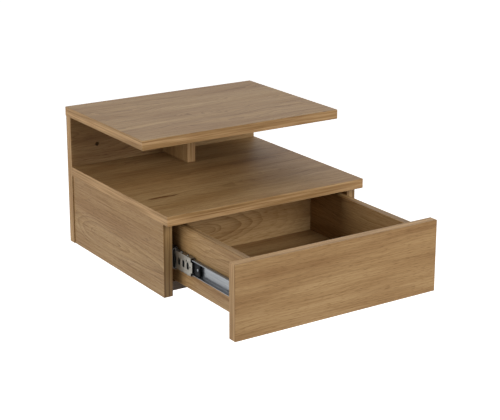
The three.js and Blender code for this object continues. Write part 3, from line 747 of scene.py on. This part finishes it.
# %% Every screw in its place
RUNNER_LEVEL = -103  # the middle of the runners, in millimetres above the wall holes
HEAD_ON_CABINET = 156.2  # how far out the screws of each runner half have their heads
HEAD_ON_DRAWER = 146.3
screws = {"support_screw": (long_screw(), (0, -53, -46), (0, 0, 1))}
for side, sign in SIDES:
    into_back, outward, inward = (0, -1, 0), (sign, 0, 0), (-sign, 0, 0)
    screws[f"back_screw_lower_{side}"] = (long_screw(), (sign * 165, 0, -136), into_back)
    screws[f"back_screw_upper_{side}"] = (long_screw(), (sign * 165, 0, -70), into_back)
    screws[f"back_screw_shelf_{side}"] = (long_screw(), (sign * 101, 0, -38.5), into_back)
    screws[f"drawer_screw_upper_{side}"] = (box_screw(), (sign * 145, -235, -75), inward)
    screws[f"drawer_screw_lower_{side}"] = (box_screw(), (sign * 145, -235, -122), inward)
    for end, y in (("front", -264), ("rear", -104)):
        at = (sign * HEAD_ON_CABINET, y, RUNNER_LEVEL)
        screws[f"cabinet_runner_screw_{end}_{side}"] = (pan_screw(13.3), at, outward)
    for end, y in (("front", -446), ("rear", -286)):
        at = (sign * HEAD_ON_DRAWER, y, RUNNER_LEVEL)
        screws[f"drawer_runner_screw_{end}_{side}"] = (pan_screw(10.3), at, inward)
for node, (shape, at, along) in screws.items():
    finished(node, placed(shape, at, along), plated)
print("screws:", len(screws))

# %% [markdown]
# ## Cam fittings
#
# A bolt is screwed into one board and its mushroom head reaches into a round cam in the other. A
# quarter turn of the cam pulls the two together. The bolt is turned like a screw. The cam is a
# drum with a pocket in its side, so a few of its side faces are pushed in towards the middle.

# %% The bolt
def cam_bolt():
    """A bolt with a thread, a 6 mm body, a waist and a head with a small cross."""
    foot = [(0, -11), (1.3, -11), (1.9, -10.2), (1.9, -0.6), (2.5, -0.1), (3, 0.1)]
    head = [(3, 16.3), (1.8, 19.4), (1.8, 22.4), (2.55, 22.45), (2.7, 22.7), (2.7, 25), (2.2, 25.6)]
    shape = recessed(turned([*foot, *head, (1.7, 25.6)]), cross(1.3, 0.7), -1.1)
    return threaded(shape, 2.5, 1.9, 2.2, -10.6, -0.2)


# %% The cam
def cam_lock(radius, depth, bolt_depth):
    """A drum with a rim round its cross, and a pocket that the bolt's head sits in."""
    drum = [(0, depth), (radius - 0.5, depth), (radius, depth - 0.5)]
    walls = [(radius, bolt_depth + 3.1), (radius, bolt_depth - 3.1), (radius, 0.3)]
    face = [(radius - 0.3, 0), (radius - 1.2, 0), (radius - 1.5, 0.3), (3.5, 0.3)]
    shape = turned([*drum, *walls, *face], 24)
    mouth = []
    for side in shape.faces:
        middle = side.calc_center_median()
        bearing = abs(math.atan2(middle.y, middle.x))
        if abs(middle.z - bolt_depth) < 2 and bearing < math.radians(30):
            mouth.append(side)
    pushed = bmesh.ops.extrude_face_region(shape, geom=mouth)["geom"]
    bmesh.ops.delete(shape, geom=mouth, context="FACES")
    back_wall = [part for part in pushed if isinstance(part, bmesh.types.BMVert)]
    bmesh.ops.translate(shape, verts=back_wall, vec=(-radius - 3, 0, 0))
    return recessed(shape, cross(3, 1.2), 1.4)


# %% Every cam fitting in its place
for side, sign in SIDES:
    outward, inward = (sign, 0, 0), (-sign, 0, 0)
    fittings = {
        "top": ((101, -7.5, 50), (0, 0, -1), (101, 0, 26), (0, -1, 0)),
        "side": ((165, -243, -46), (0, 0, -1), (157.5, -243, -70), outward),
        "rail": ((157.5, -244, -152.5), inward, (133.5, -244, -145), (0, 0, -1)),
        "drawer": ((139, -481, -72), (0, 1, 0), (145, -457, -72), inward),
    }
    for joint, (bolt_at, pull, cam_at, into_face) in fittings.items():
        mirror = Matrix.Diagonal((sign, 1, 1))
        bolt = placed(cam_bolt(), mirror @ Vector(bolt_at), pull)
        finished(f"cam_bolt_{joint}_{side}", bolt, plated)
        small = joint == "drawer"
        drum = cam_lock(5.7, 9.7, 6) if small else cam_lock(7.2, 11.7, 7.5)
        drum = placed(drum, mirror @ Vector(cam_at), into_face, -Vector(pull))
        finished(f"cam_lock_{joint}_{side}", drum, plated)
print("cam fittings:", 2 * len(fittings))

# %% [markdown]
# ## Dowels
#
# A beech dowel lines two boards up while the cams pull. Its flutes let air and glue out of the
# hole. It is turned with chamfered ends, and then every fourth line of its points is pulled in.

# %% Fluted dowels
def dowel(diameter):
    """A fluted peg 30 mm long, a third of it on the near side of the joint."""
    radius = diameter / 2
    line = [(0, -10), (radius - 1, -10), (radius, -9), (radius, 19), (radius - 1, 20), (0, 20)]
    shape = turned(line)
    for point in shape.verts:
        column = round(math.atan2(point.co.y, point.co.x) / math.tau * 32)
        if column % 4 == 0 and -9.5 < point.co.z < 19.5:
            bmesh.ops.scale(shape, verts=[point], vec=(0.88, 0.88, 1))
    return shape


dowels = {"dowel_support": (8, (0, -77, 50), (0, 0, -1))}
for side, sign in SIDES:
    dowels[f"dowel_side_{side}"] = (8, (sign * 165, -80, -46), (0, 0, -1))
    dowels[f"dowel_drawer_{side}"] = (6, (sign * 139, -481, -120), (0, 1, 0))
for node, (diameter, at, along) in dowels.items():
    finished(node, placed(dowel(diameter), at, along), beech["Y" if along[1] else "Z"], sharp=20)
print("dowels:", len(dowels))

# %% [markdown]
# ## Ball bearing runners
#
# Every steel part of a runner starts as a flat strip. A press punches the holes, and rollers bend
# the strip to its section. It is made the same way here: the blank is drawn flat and filled, cut
# along each line of the section, and its points are moved from their height on the blank to their
# place on the section. Then the sheet gets its thickness. Bent like this, the holes stay where the
# press put them, and the bends are as round as they need to be.
#
# The section is a line of places: how far from the cabinet's side, and how far up. The blank
# stands in the plane of the cabinet's side, with its rear end at 0 and its length towards -Y.

# %% The flat blank
def blank(outline, openings):
    """A flat sheet with holes. An opening is how far along, how high, and its length and height."""
    shape = bmesh.new()
    points = [shape.verts.new((0, -along, height)) for along, height in outline]
    edges = [shape.edges.new((points[i - 1], points[i])) for i in range(len(points))]
    for along, height, length, breadth in openings:
        small = min(length, breadth)
        turn = Matrix.Rotation(math.pi / 2, 4, "Y") @ Matrix.Rotation(math.radians(7.5), 4, "Z")
        middle = Matrix.Translation((0, -along, height))
        ring = {"segments": 24, "radius": small / 2, "matrix": middle @ turn}
        hole = bmesh.ops.create_circle(shape, cap_ends=False, **ring)["verts"]
        for point in hole:
            point.co.y += math.copysign((length - small) / 2, point.co.y + along)
            point.co.z += math.copysign((breadth - small) / 2, point.co.z - height)
        edges += list({edge for point in hole for edge in point.link_edges})
    bmesh.ops.triangle_fill(shape, edges=edges, use_beauty=True)
    return shape


# %% Rolling it to a section
# In millimetres, how far out the side boards' inner faces are, and how far from the wall each
# runner part has its own zero.
SIDE_BOARD = 157.4
CABINET_HALF_START = 51
DRAWER_HALF_START = 230.9
CAGE_START = 235
LEVER_PIVOT = 361.5


def flat_heights(section):
    """How high each point of the section was on the flat blank. Its middle stays at 0."""
    lengths = [0.0]
    for start, end in zip(section, section[1:]):
        lengths.append(lengths[-1] + math.dist(start, end))
    return [length - lengths[-1] / 2 for length in lengths]


def bend(centre, radius, start, end, steps=6):
    """The points of a round bend, between two bearings in degrees."""
    bearings = [math.radians(start + (end - start) * i / steps) for i in range(steps + 1)]
    return [(centre[0] + radius * math.cos(b), centre[1] + radius * math.sin(b)) for b in bearings]


def both_ways(upper):
    """A whole section from its upper half, which runs from the middle to the top edge."""
    return [(across, -up) for across, up in reversed(upper)] + upper


def rolled(shape, section, wall):
    """Bends a blank to a section and gives it its thickness, with the section in its middle."""
    heights = flat_heights(section)
    for height in heights[1:-1]:
        everything = shape.verts[:] + shape.edges[:] + shape.faces[:]
        cut = {"plane_co": (0, 0, height), "plane_no": (0, 0, 1), "dist": 0.0001}
        bmesh.ops.bisect_plane(shape, geom=everything, **cut)
    for point in shape.verts:
        step = 0
        while step < len(heights) - 2 and point.co.z > heights[step + 1]:
            step += 1
        share = (point.co.z - heights[step]) / (heights[step + 1] - heights[step])
        (near, low), (far, high) = section[step], section[step + 1]
        point.co.x = near + (far - near) * share
        point.co.z = low + (high - low) * share
    bmesh.ops.recalc_face_normals(shape, faces=shape.faces)
    shape.normal_update()
    for point in shape.verts:
        point.co += point.normal * wall / 2
    bmesh.ops.solidify(shape, geom=shape.faces[:], thickness=wall)
    bmesh.ops.recalc_face_normals(shape, faces=shape.faces)
    return shape


def fitted(shape, side, start):
    """Puts a runner part on its side of the cabinet. The right runner is the left one turned."""
    place = Matrix.Translation((dict(SIDES)[side] * SIDE_BOARD, -start, RUNNER_LEVEL))
    if side == "right":
        place = place @ Matrix.Rotation(math.pi, 4, "Y")
    bmesh.ops.transform(shape, matrix=place, verts=shape.verts)
    bmesh.ops.scale(shape, vec=TO_METRES, verts=shape.verts)
    return shape


BALL = (7, 13.7)  # the middle of the upper ball, in the section
BALL_RADIUS = 2.4
print("a race opens to", [round(x, 2) for x in bend(BALL, 3.2, 235, 305)[0]])

# %% Blocks and pins on the strip
def eased(shape, edges, size, segments=2):
    """Rounds edges, as wear and shrinkage leave them."""
    soft = {"segments": segments, "profile": 0.5, "affect": "EDGES", "material": -1}
    bmesh.ops.bevel(shape, geom=edges, offset=size, **soft)


def block(shape, low, high, arris):
    """A block with eased edges between two corners, added to a shape."""
    low, high = Vector(low), Vector(high)
    place = Matrix.Translation((low + high) / 2) @ Matrix.Diagonal((*(high - low), 1))
    corners = bmesh.ops.create_cube(shape, size=1, matrix=place)["verts"]
    eased(shape, list({edge for corner in corners for edge in corner.link_edges}), arris)


def pin(shape, along, root, tip, radius):
    """A round pin that stands on the web, with a rounded end."""
    turn = Matrix.Rotation(-math.pi / 2, 4, "Y")
    place = Matrix.Translation(((root + tip) / 2, -along, 0)) @ turn
    size = {"segments": 32, "radius1": radius, "radius2": radius, "depth": root - tip}
    made = bmesh.ops.create_cone(shape, cap_ends=True, matrix=place, **size)["verts"]
    end = [point for point in made if abs(point.co.x - tip) < 0.001]
    near = {edge for point in end for edge in point.link_edges}
    eased(shape, [edge for edge in near if set(edge.verts) <= set(end)], 0.5, segments=3)


# %% The runner halves
RUNNER_LENGTH = 250
RUNNER_WALL = 1.2


def straight_blank(section, openings):
    """The blank of a runner half, as wide as its section is long when it is flat."""
    half = flat_heights(section)[-1]
    outline = [(0, -half), (RUNNER_LENGTH, -half), (RUNNER_LENGTH, half), (0, half)]
    return blank(outline, openings)


def holes(first, slots):
    """Two round holes for the screws and two slots to adjust by, in a runner's web."""
    rounds = [(along, 0, 4.4, 4.4) for along in (first, first - 160)]
    return rounds + [(along, 0, 9, 4.4) for along in slots]


# The cabinet half hugs the balls from outside: a C that opens towards the drawer.
shoulder = [(0.6, 0), (0.6, 12), (0.62, 12.7), (0.75, 13.3), (1.1, 13.85), (1.7, 14.33)]
cabinet_section = both_ways([*shoulder, *reversed(bend(BALL, 3.2, 20, 120, 12))])
# The drawer half runs inside the balls: each edge has a groove below the ball.
fold = [(11.7, 0), (11.7, 9.4), *bend((10.5, 9.88), 1.2, 0, 90)]
drawer_section = both_ways([*fold, (9.3, 11.08), *reversed(bend(BALL, 3.2, 235, 305, 8))])
for side, _ in SIDES:
    cabinet_blank = straight_blank(cabinet_section, holes(213, (189, 77)))
    cabinet_half = rolled(cabinet_blank, cabinet_section, RUNNER_WALL)
    # A stop at the rear end catches the drawer as it closes.
    block(cabinet_half, (0, -1.2, -8), (9, 0, 8), 0.3)
    finished(f"cabinet_runner_{side}", fitted(cabinet_half, side, CABINET_HALF_START), zinc_strip)
    drawer_blank = straight_blank(drawer_section, holes(215.1, (239.1, 79.1)))
    drawer_half = rolled(drawer_blank, drawer_section, RUNNER_WALL)
    # The stud that the release lever turns on.
    pin(drawer_half, 130.6, 11.7, 6.2, 2)
    finished(f"drawer_runner_{side}", fitted(drawer_half, side, DRAWER_HALF_START), zinc_strip)
print("runner halves:", 2 * len(SIDES))

# %% [markdown]
# ## Ball cages
#
# The cage keeps the balls apart and rolls along at half the drawer's speed. It is thinner strip,
# with a row of slots in its web and a ball in each hole of its turned edges. The balls are solid
# spheres with small faces, since the edge of a bright ball shows every corner.

# %% The cages with their balls
CAGE_WALL = 0.8
web = [(4.02, 0), (4.02, 12), *bend((5.22, 12.5), 1.2, 180, 90)]
cage_section = both_ways([*web, (5.7, 13.7), (10.2, 13.7)])
half = flat_heights(cage_section)[-1]
rim_root = half - 4.98  # where the fold ends and the flat rim starts
cage_blank = [
    (0, -half), (97.4, -half), (97.4, -rim_root), (102.6, -rim_root), (102.6, -half), (112, -half),
    (112, -8), (116, -8), (116, 8), (112, 8), (112, half), (0, half),
]
ball_places = [12 + 17.6 * i for i in range(6)]
openings = [(104 - 12 * i, 0, 6, 11) for i in range(6)]
openings += [(110.2, 0, 2.8, 2.8), (100.7, 7.4, 2.8, 2.8)]
seats = [(along, up) for along in ball_places for up in (-1, 1)]
# The foremost lower ball lies in the notch of the rim, so it has no hole of its own.
openings += [(along, up * (half - 3.2), 5, 5) for along, up in seats if (along, up) != (100, -1)]
for side, _ in SIDES:
    cage = rolled(blank(cage_blank, openings), cage_section, CAGE_WALL)
    for face in cage.faces:
        face.material_index = 0
    for along, up in seats:
        place = Matrix.Translation((BALL[0], -along, up * BALL[1]))
        sphere = {"subdivisions": 3, "radius": BALL_RADIUS, "matrix": place}
        ball = bmesh.ops.create_icosphere(cage, **sphere)["verts"]
        for face in {face for point in ball for face in point.link_faces}:
            face.material_index = 1
    finished(f"ball_cage_{side}", fitted(cage, side, CAGE_START), cage_strip, ball_steel)
print("balls:", 2 * len(SIDES) * len(ball_places))

# %% [markdown]
# ## Release levers
#
# Pressing the lever lets the drawer lift out. It is one flat moulding: a jaw in front, a hook at
# the back, and a thin leaf along one edge that springs it back. A moulded part has no sharp edge,
# because the tool's corners are worn and the plastic shrinks, so every edge is rounded.

# %% The levers
lever_outline = [
    (0, 9.4), (6, 9.4), (6, 3.5), (4.5, 3.5), (4.5, -3.5), (6, -3.5), (6, -8.9), (0, -9.4),
    (-22, -9.4), (-22, -7.8), (-7, -7.8), (-7, -6.6), (-22, -6.6), (-22, -3), (-20, -3), (-20, 3),
    (-22, 3), (-22, 7.5),
]
for side, _ in SIDES:
    lever = blank(lever_outline, [(0, 0, 4.6, 4.6)])
    bmesh.ops.dissolve_limit(lever, angle_limit=0.01, verts=lever.verts, edges=lever.edges)
    bmesh.ops.solidify(lever, geom=lever.faces[:], thickness=3.8)
    bmesh.ops.recalc_face_normals(lever, faces=lever.faces)
    nearest = min(point.co.x for point in lever.verts)
    bmesh.ops.translate(lever, verts=lever.verts, vec=(6.8 - nearest, 0, 0))
    corners = [edge for edge in lever.edges if edge.calc_face_angle(0) > math.radians(60)]
    eased(lever, corners, 0.3)
    block(lever, (6.3, -4, -8), (7.2, -3, 8), 0.25)
    for up in (-5.2, 5.2):
        block(lever, (6.4, 3, up - 0.5), (7.2, 16, up + 0.5), 0.25)
    finished(f"release_lever_{side}", fitted(lever, side, LEVER_PIVOT), black_plastic)
print("levers:", len(SIDES))

# %% [markdown]
# ## The end

# %% The end
print("the end")
